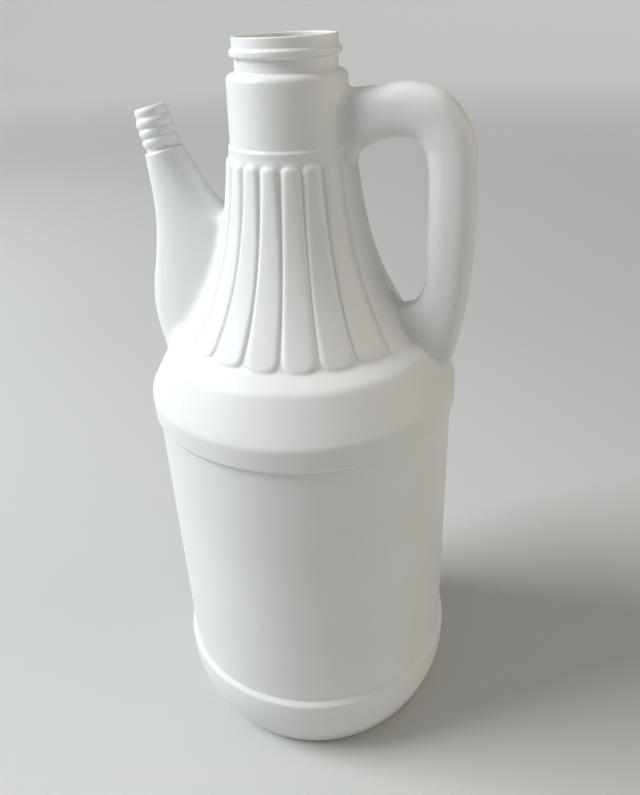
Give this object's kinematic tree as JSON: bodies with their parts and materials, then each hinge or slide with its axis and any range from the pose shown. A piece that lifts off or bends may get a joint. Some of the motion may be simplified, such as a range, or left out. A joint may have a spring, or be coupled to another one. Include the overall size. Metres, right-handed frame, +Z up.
{
  "type": "handled spout bottle",
  "caption": "White blow-moulded jug with a hollow loop handle, a fluted cone, a sunk label panel, a leaning side spout and an open top neck.",
  "frame": {"origin": "centre of the standing ring, on the floor, on the bottle's axis", "axes": "+Z up along the bottle's axis, +X towards the handle, -X towards the spout, Y across the mould's parting plane"},
  "size_m": [0.1295, 0.1236, 0.29],
  "materials": {
    "plastic": "satin"
  },
  "bodies": {
    "root": {"bottle": "plastic"}
  },
  "joints": []
}
